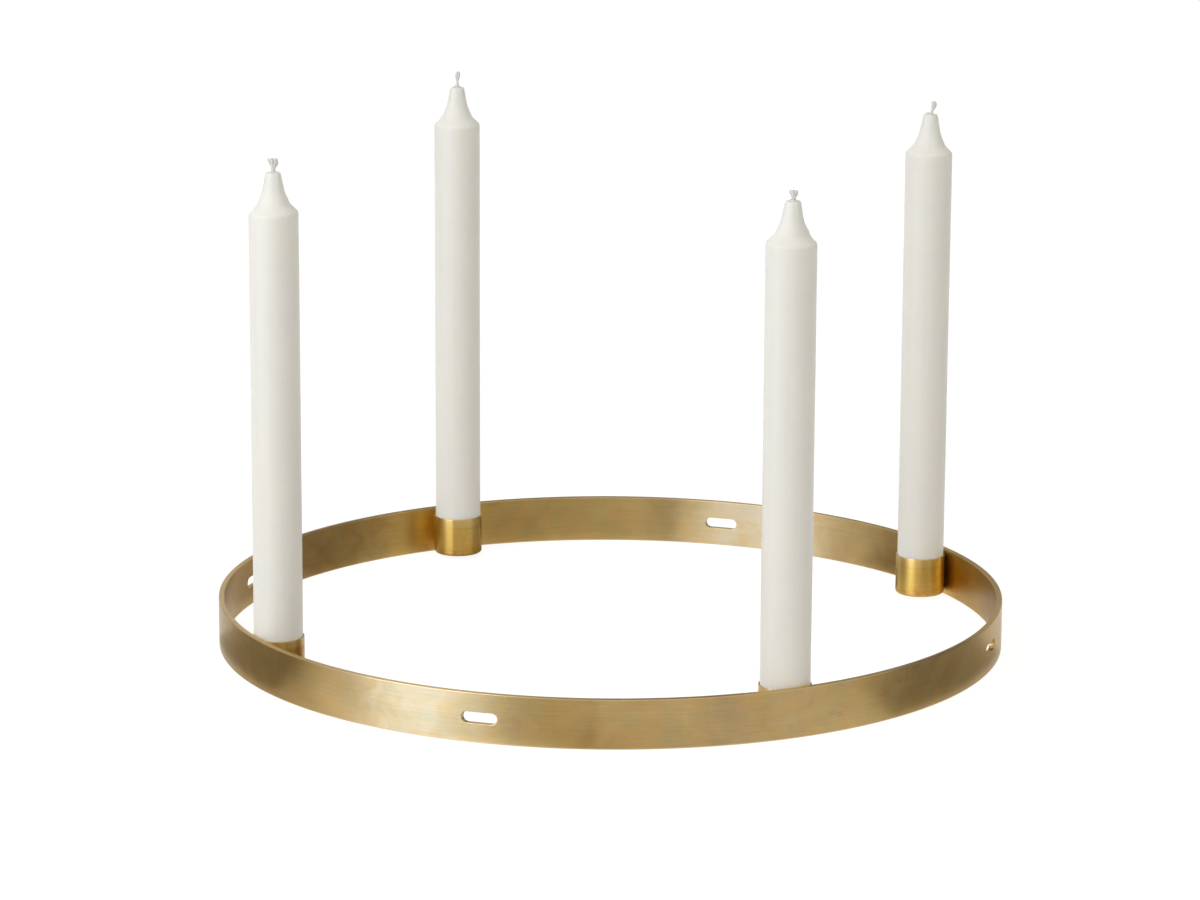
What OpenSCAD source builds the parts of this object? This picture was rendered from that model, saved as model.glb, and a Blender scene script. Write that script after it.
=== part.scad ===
// Candle ring for the four weeks before midwinter.
// A flat brass bar is bent to a circle and its ends are brazed together. Four cups are brazed
// inside it, each holds a tapered candle, and a wick runs through each candle.
// Millimetres, +Z up. The origin is the ring's centre on the face that it stands on.
// The front looks towards -Y. Lists of four go front left, back left, back right, front right.

/* [Ring] */
// Outside diameter of the ring
ring_d = 360; // [280:1:460]
// Height of the band
ring_h = 22; // [20:0.5:40]
// Thickness of the band
ring_t = 2.6; // [1.6:0.1:5]
// Broken edge along each rim of the band
ring_edge = 0.25; // [0.1:0.05:0.6]
// Width of the brazed butt seam
seam_w = 0.4; // [0.2:0.1:1]

/* [Ribbon slots] */
// Length of a slot along the band
slot_l = 16; // [8:0.5:40]
// Height of a slot
slot_h = 5; // [3:0.1:7]

/* [Cups] */
// Distance from each rim of the band to a cup
cup_margin = 1.7; // [1:0.1:4]
// Wall of a cup
cup_wall = 0.5; // [0.4:0.05:2]
// Thickness of a cup's floor
cup_floor = 1; // [0.6:0.1:3]
// Radius round the bottom edge of a cup
cup_round = 1.2; // [0.4:0.1:1.4]
// Lead-in chamfer inside the rim
cup_chamfer = 0.2; // [0.05:0.05:0.35]
// Radial clearance between a candle and its cup
candle_fit = 0.1; // [0.05:0.05:0.5]

/* [Braze] */
// Thickness of the braze where a cup comes closest to the band
braze_gap = 0.1; // [0.05:0.05:0.4]
// Width of the braze across the joint
braze_w = 5; // [2:0.5:9]
// Distance from each end of a cup to the braze
braze_margin = 2; // [1.5:0.1:4]
// Skin between the braze and the metal on each side
braze_fit = 0.02; // [0.01:0.01:0.04]

/* [Candles] */
// Diameter of a candle
candle_d = 22; // [18:0.1:26]
// Length of a candle from its foot to its shoulder
candle_l = 211; // [80:0.5:260]
// How much longer than that each candle is
candle_more = [-2, 1.2, 0.8, -0.4]; // [-20:0.1:20]
// Broken edge round the foot
foot_edge = 0.8; // [0.2:0.1:2]
// Height of the short bevel above the shoulder
bevel_h = 3.1; // [1:0.1:6]
// Diameter where the bevel meets the tip
bevel_d = 14.6; // [10:0.1:17]
// Height of the tip above the shoulder
tip_h = 17.4; // [10:0.1:30]
// Diameter of the tip at its top
tip_d = 6.8; // [4:0.1:9]
// Radius round the top of the tip
tip_round = 0.9; // [0.2:0.1:1.5]

/* [Wicks] */
// Diameter of a wick
wick_d = 2.2; // [1.2:0.1:3]
// Radial clearance between a wick and its channel
wick_fit = 0.05; // [0.02:0.01:0.2]
// Distance from a candle's foot to the lower end of its wick
wick_inset = 1; // [0.5:0.1:5]
// Length of each wick above its candle
wick_rise = [6.9, 8.2, 6.9, 5.2]; // [4:0.1:12]
// Diameter of each wick's frayed end
head_d = [5.2, 2.5, 3, 4.4]; // [2.4:0.1:7]
// Height of each wick's frayed end
head_h = [3.8, 1.4, 2.2, 1.9]; // [1:0.1:3.9]
// Lean of each wick in degrees
wick_lean = [5, 7, 17, 9]; // [0:1:20]
// Heading that each wick leans towards, in degrees from +X
lean_heading = [198, 18, 18, 18]; // [0:1:359]

/* [Hidden] */
places = ["front_left", "back_left", "back_right", "front_right"];
headings = [225, 135, 45, 315];
slot_headings = [0, 90, 180, 270];
seam_heading = headings[0];

ring_r = ring_d / 2;
ring_inner_r = ring_r - ring_t;
bore_r = candle_d / 2 + candle_fit;
cup_r = bore_r + cup_wall;
cup_axis_r = ring_inner_r - braze_gap - cup_r;
cup_h = ring_h - 2 * cup_margin;
cup_z = cup_margin;
candle_z = cup_z + cup_floor;
candle_lengths = [for (more = candle_more) candle_l + more];
channel_r = wick_d / 2 + wick_fit;

// Share of a wick's frayed end that flares, and how much its top draws in again
flare_share = 0.7;
crown_share = 0.6;
stub_steps = 14;
wick_sides = 16;
// Power of the curve that draws the tip in from the bevel to its top
tip_power = 1.6;
tip_steps = 18;
round_steps = 6;

// Every cut runs this far past the faces that it opens
overrun = 1;
ring_fn = 240;
round_fn = 96;
channel_fn = 40;
braze_steps = 8;

// Puts its children at cup number i, with +X pointing away from the ring's centre
module at_cup(i)
    rotate([0, 0, headings[i]])
        translate([cup_axis_r, 0, 0])
            children();

// Cross-section of the bar, with all four edges broken
module band_profile()
    translate([ring_inner_r, 0])
        polygon([
            [ring_edge, 0],
            [ring_t - ring_edge, 0],
            [ring_t, ring_edge],
            [ring_t, ring_h - ring_edge],
            [ring_t - ring_edge, ring_h],
            [ring_edge, ring_h],
            [0, ring_h - ring_edge],
            [0, ring_edge]
        ]);

module full_ring()
    rotate_extrude($fn = ring_fn)
        band_profile();

// Block across the bar where its two ends meet
module seam_block()
    rotate([0, 0, seam_heading])
        translate([ring_inner_r - overrun, -seam_w / 2, -overrun])
            cube([ring_t + 2 * overrun, seam_w, ring_h + 2 * overrun]);

// Outline of a slot that lies along the band
module slot_outline() {
    square([slot_l - slot_h, slot_h], center = true);
    for (side = [-1, 1])
        translate([side * (slot_l - slot_h) / 2, 0])
            circle(d = slot_h, $fn = round_fn);
}

module slot_cut(heading)
    rotate([0, 0, heading])
        translate([ring_inner_r - overrun, 0, ring_h / 2])
            rotate([90, 0, 90])
                linear_extrude(ring_t + 2 * overrun)
                    slot_outline();

module ring_band()
    color("darkgoldenrod")
        difference() {
            full_ring();
            seam_block();
            for (heading = slot_headings)
                slot_cut(heading);
        }

module ring_seam()
    color("khaki")
        intersection() {
            full_ring();
            seam_block();
        }

// Outside of a cup, with its bottom edge rounded
module cup_outline() {
    translate([0, cup_round])
        square([cup_r, cup_h - cup_round]);
    square([cup_r - cup_round, cup_h]);
    translate([cup_r - cup_round, cup_round])
        circle(r = cup_round, $fn = round_fn);
}

// Inside of a cup, with a lead-in at the rim
module cup_bore_outline() {
    translate([0, cup_floor])
        square([bore_r, cup_h - cup_floor + overrun]);
    translate([0, cup_h - cup_chamfer])
        polygon([
            [0, 0],
            [bore_r, 0],
            [bore_r + cup_chamfer + overrun, cup_chamfer + overrun],
            [0, cup_chamfer + overrun]
        ]);
}

module cup(i)
    color("goldenrod")
        at_cup(i)
            translate([0, 0, cup_z])
                rotate_extrude($fn = round_fn)
                    difference() {
                        cup_outline();
                        cup_bore_outline();
                    }

// Points across the joint at a radius about a centre that lies behind the cup's axis
function across(radius, behind) =
    [for (k = [0:braze_steps])
        let (y = braze_w * (k / braze_steps - 1 / 2))
        [sqrt(pow(radius, 2) - pow(y, 2)) - behind, y]];

// Braze that fills the wedge between a cup and the inside of the band
module braze(i) {
    cup_side = across(cup_r + braze_fit, 0);
    band_side = across(ring_inner_r - braze_fit, cup_axis_r);
    color("khaki")
        at_cup(i)
            translate([0, 0, cup_z + braze_margin])
                linear_extrude(cup_h - 2 * braze_margin)
                    polygon(concat(cup_side, [for (k = [braze_steps:-1:0]) band_side[k]]));
}

// Radius of the tip at a share of the way from the bevel to the top
function tip_r(share) =
    tip_d / 2 + (bevel_d - tip_d) / 2 * pow(1 - share, tip_power);

// Half outline of a candle from its foot to its top
function candle_points(length) =
    let (candle_r = candle_d / 2, top = length + tip_h, flank = tip_h - bevel_h - tip_round)
    concat(
        [[0, 0], [candle_r - foot_edge, 0], [candle_r, foot_edge], [candle_r, length]],
        [for (k = [0:tip_steps])
            let (share = k / tip_steps)
            [tip_r(share), length + bevel_h + share * flank]],
        [for (k = [1:round_steps])
            let (turn = 90 * k / round_steps)
            [tip_d / 2 - tip_round * (1 - cos(turn)), top - tip_round * (1 - sin(turn))]],
        [[0, top]]
    );

module candle(i)
    color("ivory")
        at_cup(i)
            translate([0, 0, candle_z])
                difference() {
                    rotate_extrude($fn = round_fn)
                        polygon(candle_points(candle_lengths[i]));
                    translate([0, 0, -overrun])
                        cylinder(
                            r = channel_r,
                            h = candle_lengths[i] + tip_h + 2 * overrun,
                            $fn = channel_fn
                        );
                }

// Radius of wick i at a height above its candle: even at first, then flaring, then drawing in
function stub_r(i, height) =
    let (
        up = max(0, height - wick_rise[i] + head_h[i]) / head_h[i],
        spread = head_d[i] / 2 - wick_d / 2
    )
    up < flare_share
        ? wick_d / 2 + spread * sin(90 * up / flare_share)
        : head_d[i] / 2 * (1 - (1 - crown_share) * pow((up - flare_share) / (1 - flare_share), 2));

// Rings of points up wick i, which stands straight in the wax and bends over above it
function wick_rings(i) =
    let (top = candle_lengths[i] + tip_h)
    concat(
        [[0, wick_inset, wick_d / 2]],
        [for (k = [0:stub_steps])
            let (height = wick_rise[i] * k / stub_steps)
            [height * tan(wick_lean[i]) * k / stub_steps, top + height, stub_r(i, height)]]
    );

// Closed tube through rings that each hold a place along +X, a height and a radius
module tube(rings) {
    n = wick_sides;
    last = (len(rings) - 1) * n;
    points = [for (ring = rings, k = [0:n - 1])
        [ring[0] + ring[2] * cos(360 * k / n), ring[2] * sin(360 * k / n), ring[1]]];
    sides = [for (j = [0:len(rings) - 2], k = [0:n - 1], half = [0, 1])
        let (low = j * n, high = low + n, next = (k + 1) % n)
        half == 0 ? [low + k, high + k, high + next] : [low + k, high + next, low + next]];
    foot = [for (k = [1:n - 2]) [0, k, k + 1]];
    crown = [for (k = [1:n - 2]) [last, last + k + 1, last + k]];
    polyhedron(points, concat(sides, foot, crown));
}

module wick(i)
    color("gainsboro")
        at_cup(i)
            translate([0, 0, candle_z])
                rotate([0, 0, lean_heading[i] - headings[i]])
                    tube(wick_rings(i));

ring_band();
ring_seam();
for (i = [0:len(places) - 1]) {
    cup(i);
    braze(i);
    candle(i);
    wick(i);
}
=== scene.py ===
import math

import bpy
from mathutils import Matrix, Vector, noise


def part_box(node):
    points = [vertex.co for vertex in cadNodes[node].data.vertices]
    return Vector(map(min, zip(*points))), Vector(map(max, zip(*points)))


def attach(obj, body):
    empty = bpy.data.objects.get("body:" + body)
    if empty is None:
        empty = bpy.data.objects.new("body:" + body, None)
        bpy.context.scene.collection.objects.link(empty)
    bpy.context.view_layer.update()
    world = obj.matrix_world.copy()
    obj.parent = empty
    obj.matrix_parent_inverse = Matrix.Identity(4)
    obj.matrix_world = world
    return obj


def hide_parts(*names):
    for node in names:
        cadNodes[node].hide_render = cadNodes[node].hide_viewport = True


# Looks for the advent ring: brushed brass band, turned cups, drawn candles and twisted wicks.
# Metres throughout. The front looks towards -Y and the photo was taken from a little to its right.

noise.seed_set(24)  # the fuzz of the wicks is the same in every run
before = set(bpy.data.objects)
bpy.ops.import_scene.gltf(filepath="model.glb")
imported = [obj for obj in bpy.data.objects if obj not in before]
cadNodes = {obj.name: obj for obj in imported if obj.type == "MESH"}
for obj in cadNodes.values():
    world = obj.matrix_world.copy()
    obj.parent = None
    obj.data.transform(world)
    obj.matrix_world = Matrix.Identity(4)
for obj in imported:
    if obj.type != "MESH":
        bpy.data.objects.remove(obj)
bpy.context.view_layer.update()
mm = 0.001
places = ["front_left", "back_left", "back_right", "front_right"]
print("loaded the packed ring, cups, candles and wicks")


# Camera, at the photo's viewing angle
cameraSetup = {
    "turn": 18.0,  # degrees round from the front, towards +X
    "away": 2.0458,  # from the ring's centre, along the table
    "height": 0.5712,
    "pan": 0.144,  # degrees
    "pitch": 13.288,
    "roll": 0.272,
    "lens": 137.83,  # mm
    "sensor": 36.0,  # mm wide
}
photoTurn = math.radians(cameraSetup["turn"])
photoRight = Vector((math.cos(photoTurn), math.sin(photoTurn), 0))
photoAway = Vector((-photoRight.y, photoRight.x, 0))


def addCamera():
    pan = math.radians(cameraSetup["pan"])
    pitch = math.radians(90 - cameraSetup["pitch"])
    roll = math.radians(cameraSetup["roll"])
    stand = Vector((0, -cameraSetup["away"], cameraSetup["height"]))
    spot = Matrix.Rotation(photoTurn, 4, "Z") @ stand
    level = Matrix.Rotation(photoTurn + pan, 4, "Z") @ Matrix.Rotation(pitch, 4, "X")
    aim = level @ Matrix.Rotation(roll, 4, "Z")
    lens = bpy.data.cameras.new("photoCamera")
    lens.lens = cameraSetup["lens"]
    lens.sensor_fit = "HORIZONTAL"
    lens.sensor_width = cameraSetup["sensor"]
    camera = bpy.data.objects.new("photoCamera", lens)
    camera.matrix_world = Matrix.Translation(spot) @ aim
    bpy.context.scene.collection.objects.link(camera)
    bpy.context.scene.camera = camera


# Small helpers for meshes
def polar(radius, heading, height):
    return Vector((radius * math.cos(heading), radius * math.sin(heading), height))


def smoothStep(low, high, value):
    share = min(1.0, max(0.0, (value - low) / (high - low)))
    return share * share * (3 - 2 * share)


def makePiece(name, points, faces, grain=None, wear=None, marks=None, origin=(0, 0, 0)):
    # grain: where each point lies along and across the brushing; wear: 1 on rubbed edges
    # marks: how much stain and painted shade, painted warm reflection and painted highlight lie there, each
    # from 0 to 1
    shift = Vector(origin)
    mesh = bpy.data.meshes.new(name)
    mesh.from_pydata([Vector(p) - shift for p in points], [], faces)
    for layerName, rows in (("grain", grain), ("marks", marks)):
        if rows:
            layer = mesh.attributes.new(layerName, "FLOAT_VECTOR", "POINT")
            layer.data.foreach_set("vector", [x for row in rows for x in row])
    if wear:
        layer = mesh.attributes.new("wear", "FLOAT", "POINT")
        layer.data.foreach_set("value", wear)
    mesh.validate()
    mesh.update()
    mesh.shade_smooth()
    piece = bpy.data.objects.new(name, mesh)
    piece.location = shift
    bpy.context.scene.collection.objects.link(piece)
    return piece


def sharpen(piece, degrees):
    # edges bent by more than this stay crisp
    limit = math.radians(degrees)
    mesh = piece.data
    sides = {}
    for face in mesh.polygons:
        for key in face.edge_keys:
            sides.setdefault(key, []).append(face.normal)
    sharp = []
    for edge in mesh.edges:
        normals = sides.get(edge.key, [])
        sharp.append(len(normals) == 2 and normals[0].angle(normals[1], 0.0) > limit)
    layer = mesh.attributes.get("sharp_edge") or mesh.attributes.new("sharp_edge", "BOOLEAN", "EDGE")
    layer.data.foreach_set("value", sharp)


# Small helpers for materials
def newMaterial(name):
    material = bpy.data.materials.new(name)
    material.use_nodes = True
    return material, material.node_tree, material.node_tree.nodes["Principled BSDF"]


def addNode(tree, kind, settings=None, **values):
    node = tree.nodes.new(kind)
    for key, value in (settings or {}).items():
        setattr(node, key, value)
    for key, value in values.items():
        node.inputs[key].default_value = value
    return node


def readLayer(tree, name, output="Vector"):
    # what makePiece stored at each point
    return addNode(tree, "ShaderNodeAttribute", {"attribute_name": name}).outputs[output]


def addRamp(tree, source, stops):
    ramp = tree.nodes.new("ShaderNodeValToRGB")
    marks = ramp.color_ramp.elements
    while len(marks) < len(stops):
        marks.new(0.5)
    for mark, (place, colour) in zip(marks, stops):
        mark.position = place
        mark.color = (*colour, 1)
    tree.links.new(source, ramp.inputs["Fac"])
    return ramp.outputs["Color"]


def grey(level):
    return (level, level, level)


def addNoise(tree, vector, scale, detail=3.0, roughness=0.55, distortion=0.0):
    node = addNode(tree, "ShaderNodeTexNoise", None, Scale=scale, Detail=detail, Roughness=roughness,
                   Distortion=distortion)
    tree.links.new(vector, node.inputs["Vector"])
    return node.outputs["Fac"]


def stretch(tree, vector, along, across):
    node = addNode(tree, "ShaderNodeMapping", None, Scale=(along, along, across))
    tree.links.new(vector, node.inputs["Vector"])
    return node.outputs["Vector"]


def mixColour(tree, blend, factor, first, second):
    node = addNode(tree, "ShaderNodeMix", {"data_type": "RGBA", "blend_type": blend})
    factorIn, firstIn, secondIn = node.inputs[0], node.inputs[6], node.inputs[7]
    for socket, value in ((factorIn, factor), (firstIn, first), (secondIn, second)):
        if isinstance(value, bpy.types.NodeSocket):
            tree.links.new(value, socket)
        else:
            socket.default_value = value if socket == factorIn else (*value, 1)
    return node.outputs[2]


def calculate(tree, operation, first, second):
    node = addNode(tree, "ShaderNodeMath", {"operation": operation})
    for socket, value in zip(node.inputs, (first, second)):
        if isinstance(value, bpy.types.NodeSocket):
            tree.links.new(value, socket)
        else:
            socket.default_value = value
    return node.outputs[0]


def setInputs(shader, values):
    for name, value in values.items():
        shader.inputs[name].default_value = value


def addRelief(tree, shader, look, height):
    relief = addNode(tree, "ShaderNodeBump", None, Strength=look["bump"], Distance=look["bumpDepth"])
    tree.links.new(height, relief.inputs["Height"])
    tree.links.new(relief.outputs["Normal"], shader.inputs["Normal"])


# Brass
bandBrass = {
    "name": "bandBrass",
    "dull": (0.400, 0.255, 0.076),  # darkest patina
    "plain": (0.480, 0.320, 0.104),
    "clean": (0.550, 0.378, 0.135),
    "blotch": (0.390, 0.215, 0.052),  # warm brown marks
    "stainAndShade": (0.270, 0.150, 0.034),  # stain and painted shade, the darkest marks: inside the ring at its left, either side of the back right cup, and a patch outside
    "paintedWarmReflection": (0.930, 0.660, 0.150),  # painted warm reflection: bright warm metal beside each cup and on its side facing the band
    "paintedHighlight": (0.520, 0.415, 0.270),  # painted highlight: paler metal where the softbox and strip are mirrored
    "rubbed": (0.640, 0.460, 0.220),  # edges that hands keep clean
    "grazing": (0.85, 0.77, 0.64),  # tint at a shallow angle
    "polish": 0.4,  # thin clear film
    "polishRoughness": 0.35,
    "roughness": 0.40,
    "roughnessSpan": 0.06,
    "anisotropic": 0.95,
    "patchScale": 17.0,
    "spotShare": 4.3,  # scale of the blotches, as a multiple of the patches'
    "regionShare": 0.63,  # and of the regions that have blotches
    "fineAlong": 55.0,
    "fineAcross": 4200.0,
    "broadAlong": 13.0,
    "broadAcross": 950.0,
    "streak": 0.35,
    "cloudScale": 105.0,
    "cloudWarm": (1.04, 0.985, 0.93),  # what the small clouds multiply the colour by
    "cloudCool": (0.955, 0.99, 1.02),
    "bump": 0.22,
    "bumpDepth": 0.00003,
}
cupBrass = {
    **bandBrass,
    "name": "cupBrass",
    "dull": (0.540, 0.345, 0.080),
    "plain": (0.590, 0.385, 0.095),
    "clean": (0.640, 0.425, 0.110),
    "blotch": (0.500, 0.300, 0.065),
    "stainAndShade": (0.430, 0.185, 0.018),  # painted shade, orange brown: over the front left cup and on the bottom edge of all four
    "rubbed": (0.680, 0.500, 0.220),
    "grazing": (0.95, 0.90, 0.80),
    "polish": 0.25,
    "roughness": 0.36,
    "roughnessSpan": 0.04,
    "streak": 0.4,
    "patchScale": 60.0,
    "fineAlong": 30.0,
    "fineAcross": 5200.0,
    "broadAlong": 20.0,
    "broadAcross": 1500.0,
    "bump": 0.16,
}
brazeBrass = {
    **bandBrass,
    "name": "brazeBrass",
    "dull": (0.36, 0.27, 0.13),
    "plain": (0.46, 0.36, 0.19),
    "clean": (0.55, 0.45, 0.26),
    "roughness": 0.46,
    "anisotropic": 0.3,
    "patchScale": 180.0,
    "bump": 0.3,
}


def makeBrass(look, onCad=False):
    material, tree, shader = newMaterial(look["name"])
    links = tree.links
    place = addNode(tree, "ShaderNodeTexCoord").outputs["Object"]
    lie = place if onCad else readLayer(tree, "grain")
    worn = readLayer(tree, "wear", "Fac")
    fine = addNoise(tree, stretch(tree, lie, look["fineAlong"], look["fineAcross"]), 1.0, 3.0, 0.6)
    broad = addNoise(tree, stretch(tree, lie, look["broadAlong"], look["broadAcross"]), 1.0, 4.0, 0.6)
    patches = addNoise(tree, place, look["patchScale"], 4.0, 0.55, 0.6)
    spots = addNoise(tree, place, look["patchScale"] * look["spotShare"], 5.0, 0.62, 0.9)
    region = addNoise(tree, place, look["patchScale"] * look["regionShare"], 2.0, 0.5, 0.3)

    # patina, then blotches, then the marks that makePiece stored
    tone = addRamp(tree, patches, [(0.32, look["dull"]), (0.50, look["plain"]), (0.68, look["clean"])])
    spot = addRamp(tree, spots, [(0.54, grey(0)), (0.66, grey(1))])
    where = addRamp(tree, region, [(0.46, grey(0)), (0.62, grey(0.55))])
    tone = mixColour(tree, "MIX", calculate(tree, "MULTIPLY", spot, where), tone, look["blotch"])
    split = addNode(tree, "ShaderNodeSeparateXYZ")
    links.new(readLayer(tree, "marks"), split.inputs[0])
    mottle = addRamp(tree, spots, [(0.34, grey(0.35)), (0.52, grey(0.75)), (0.66, grey(1.0))])
    # the stored marks: stain with painted shade, painted warm reflection, painted highlight
    for output, kind in (("X", "stainAndShade"), ("Y", "paintedWarmReflection"), ("Z", "paintedHighlight")):
        strength = calculate(tree, "MULTIPLY", split.outputs[output], mottle)
        tone = mixColour(tree, "MIX", strength, tone, look[kind])

    # small clouds, brushed streaks and rubbed edges
    clouds = addNoise(tree, place, look["cloudScale"], 3.0, 0.5, 0.4)
    cloud = addRamp(tree, clouds, [(0.36, look["cloudCool"]), (0.50, grey(1.0)), (0.64, look["cloudWarm"])])
    tone = mixColour(tree, "MULTIPLY", 1.0, tone, cloud)
    streak = addRamp(tree, broad, [(0.30, grey(0.84)), (0.50, grey(1.0)), (0.72, grey(1.10))])
    tone = mixColour(tree, "MULTIPLY", look["streak"], tone, streak)
    hair = addRamp(tree, fine, [(0.32, grey(0.90)), (0.55, grey(1.0)), (0.75, grey(1.07))])
    tone = mixColour(tree, "MULTIPLY", 1.0, tone, hair)
    rub = calculate(tree, "MULTIPLY", worn, addRamp(tree, broad, [(0.35, grey(0.35)), (0.6, grey(0.9))]))
    tone = mixColour(tree, "MIX", rub, tone, look["rubbed"])
    links.new(tone, shader.inputs["Base Color"])

    low = grey(look["roughness"] - look["roughnessSpan"])
    high = grey(look["roughness"] + look["roughnessSpan"])
    gloss = addRamp(tree, mixColour(tree, "MIX", 0.7, fine, patches), [(0.30, high), (0.70, low)])
    gloss = mixColour(tree, "MIX", calculate(tree, "MULTIPLY", worn, 0.5), gloss, low)
    links.new(gloss, shader.inputs["Roughness"])

    fineHeight = calculate(tree, "MULTIPLY", fine, 0.8)
    broadHeight = calculate(tree, "MULTIPLY", broad, 0.4)
    addRelief(tree, shader, look, calculate(tree, "ADD", fineHeight, broadHeight))
    tangent = addNode(tree, "ShaderNodeTangent", {"direction_type": "RADIAL", "axis": "Z"})
    links.new(tangent.outputs["Tangent"], shader.inputs["Tangent"])
    setInputs(shader, {
        "Metallic": 1.0,
        "Specular Tint": (*look["grazing"], 1),
        "Coat Weight": look["polish"],
        "Coat Roughness": look["polishRoughness"],
        "Anisotropic": look["anisotropic"],
        "Anisotropic Rotation": 0.25,
    })
    return material


# Wax
waxLook = {
    "name": "candleWax",
    "cool": (0.890, 0.886, 0.860),
    "plain": (0.905, 0.898, 0.862),
    "warm": (0.915, 0.900, 0.855),
    "flowAcross": 420.0,  # long faint runs down the candle
    "flowAlong": 9.0,
    "cloudScale": 60.0,
    "speckScale": 900.0,
    "speckHeight": 0.15,
    "roughness": 0.44,
    "roughnessSpan": 0.05,
    "subsurface": 0.35,
    "reach": (0.0060, 0.0048, 0.0034),
    "ior": 1.44,
    "bump": 0.25,
    "bumpDepth": 0.00012,
}


def makeWax(look):
    material, tree, shader = newMaterial(look["name"])
    links = tree.links
    place = addNode(tree, "ShaderNodeTexCoord").outputs["Object"]
    flow = addNoise(tree, stretch(tree, place, look["flowAcross"], look["flowAlong"]), 1.0, 3.0, 0.5)
    cloud = addNoise(tree, place, look["cloudScale"], 3.0, 0.5, 0.3)
    speck = addNoise(tree, place, look["speckScale"], 2.0, 0.5)
    tone = addRamp(tree, cloud, [(0.30, look["cool"]), (0.52, look["plain"]), (0.72, look["warm"])])
    runs = addRamp(tree, flow, [(0.30, grey(0.975)), (0.60, grey(1.0))])
    tone = mixColour(tree, "MULTIPLY", 1.0, tone, runs)
    dust = addRamp(tree, speck, [(0.20, grey(0.95)), (0.34, grey(1.0))])
    tone = mixColour(tree, "MULTIPLY", 1.0, tone, dust)
    links.new(tone, shader.inputs["Base Color"])
    low = grey(look["roughness"] - look["roughnessSpan"])
    high = grey(look["roughness"] + look["roughnessSpan"])
    links.new(addRamp(tree, cloud, [(0.3, high), (0.7, low)]), shader.inputs["Roughness"])
    speckHeight = calculate(tree, "MULTIPLY", speck, look["speckHeight"])
    addRelief(tree, shader, look, calculate(tree, "ADD", flow, speckHeight))
    setInputs(shader, {
        "Subsurface Weight": look["subsurface"],
        "Subsurface Radius": look["reach"],
        "Subsurface Scale": 1.0,
        "IOR": look["ior"],
    })
    return material


# Cotton
cottonLook = {
    "name": "wickCotton",
    "shade": (0.66, 0.66, 0.64),
    "plain": (0.82, 0.82, 0.80),
    "light": (0.88, 0.88, 0.865),
    "hairAcross": 9000.0,
    "hairAlong": 1400.0,
    "clumpScale": 1500.0,
    "roughness": 0.85,
    "roughest": 0.95,
    "sheen": 0.15,
    "bump": 0.6,
    "bumpDepth": 0.00008,
}


def makeCotton(look):
    material, tree, shader = newMaterial(look["name"])
    links = tree.links
    lie = readLayer(tree, "grain")
    place = addNode(tree, "ShaderNodeTexCoord").outputs["Object"]
    hairs = addNoise(tree, stretch(tree, lie, look["hairAcross"], look["hairAlong"]), 1.0, 3.0, 0.6)
    clumps = addNoise(tree, place, look["clumpScale"], 3.0, 0.6)
    both = mixColour(tree, "MIX", 0.5, hairs, clumps)
    tone = addRamp(tree, both, [(0.36, look["shade"]), (0.50, look["plain"]), (0.66, look["light"])])
    links.new(tone, shader.inputs["Base Color"])
    gloss = addRamp(tree, clumps, [(0.3, grey(look["roughest"])), (0.7, grey(look["roughness"]))])
    links.new(gloss, shader.inputs["Roughness"])
    addRelief(tree, shader, look, hairs)
    setInputs(shader, {"Sheen Weight": look["sheen"]})
    return material


# Band: a flat bar bent to a circle, with a ribbon slot on each side
band = {
    "columns": 720,  # steps round the ring
    "edge": 0.25 * mm,  # broken edges, rounded in three steps
    "edgeTurns": (30, 60),  # degrees round a broken edge
    "rowShares": [0.0, 0.02, 0.07, 0.14, 0.20, 0.26, 0.33, 0.42, 0.50,
                  0.58, 0.67, 0.74, 0.80, 0.86, 0.93, 0.98, 1.0],
    "rimShares": (0.0, 0.2, 0.5, 0.8, 1.0),
    "patchRows": (4, 12),  # rows that a slot's patch lies between
    "patchColumns": 7,  # columns on each side of a slot's middle
    "slotEdge": 0.18 * mm,
    "slotReach": 20 * mm,  # a slot's points lie within this of its middle
    "slotClear": 2 * mm,  # and at least this far from both rims
    # rings that close in on a slot: share of the way, how far out and how deep in edges, rubbing
    "slotRings": [(0.4, 2.0, 0.0, 0.0), (0.75, 2.0, 0.0, 0.0), (1.0, 2.0, 0.0, 0.1),
                  (1.0, 1.0, 0.0, 1.0), (1.0, 0.3, 0.3, 1.0), (1.0, 0.0, 1.0, 0.7)],
    "wave": 0.05 * mm,  # how far the bar wanders from a true circle
    "waveScale": 30.0,
    "fileMarks": 0.015 * mm,  # unevenness of the filed edges
    "fileScale": 160.0,
    "rimWear": 0.5,  # how rubbed the flat of each rim is
    # marks: kind, which face (1 inside, 0 outside), heading and spread in degrees, strength
    "marks": [
        # patina with painted shade inside at the left, painted shade either side of the back right cup, a
        # darker patch outside
        ("stainAndShade", 1, 146, 22, 0.65), ("stainAndShade", 1, 57, 5, 0.8), ("stainAndShade", 1, 29, 5, 0.5),
        ("stainAndShade", 0, 303, 5, 0.8),
        # painted highlights: paler metal where the softbox and strip are mirrored
        ("paintedHighlight", 0, 261, 12, 1.3), ("paintedHighlight", 0, 308, 22, 0.35), ("paintedHighlight", 0, 208, 7, 1.2),
        ("paintedHighlight", 1, 83, 14, 1.4),
        # painted warm reflections of the brass beside the cups, and in the highlight inside
        ("paintedWarmReflection", 1, 94, 5, 0.22), ("paintedWarmReflection", 1, 142, 5, 0.28), ("paintedWarmReflection", 1, 37, 8, 0.34),
    ],
    "cupReflectionSpread": 4.5,  # degrees on each side of a cup
    "throughBar": (0.3, 0.8),  # share of the thickness where the two faces' marks meet
}
seam = {
    "width": 0.4 * mm,
    "shares": (-1.0, -0.5, 0.0, 0.5, 1.0),  # steps from one end of the bar to the other
    "proud": 0.04 * mm,
    "roughScale": 900,
    "wear": 0.5,
}


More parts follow.
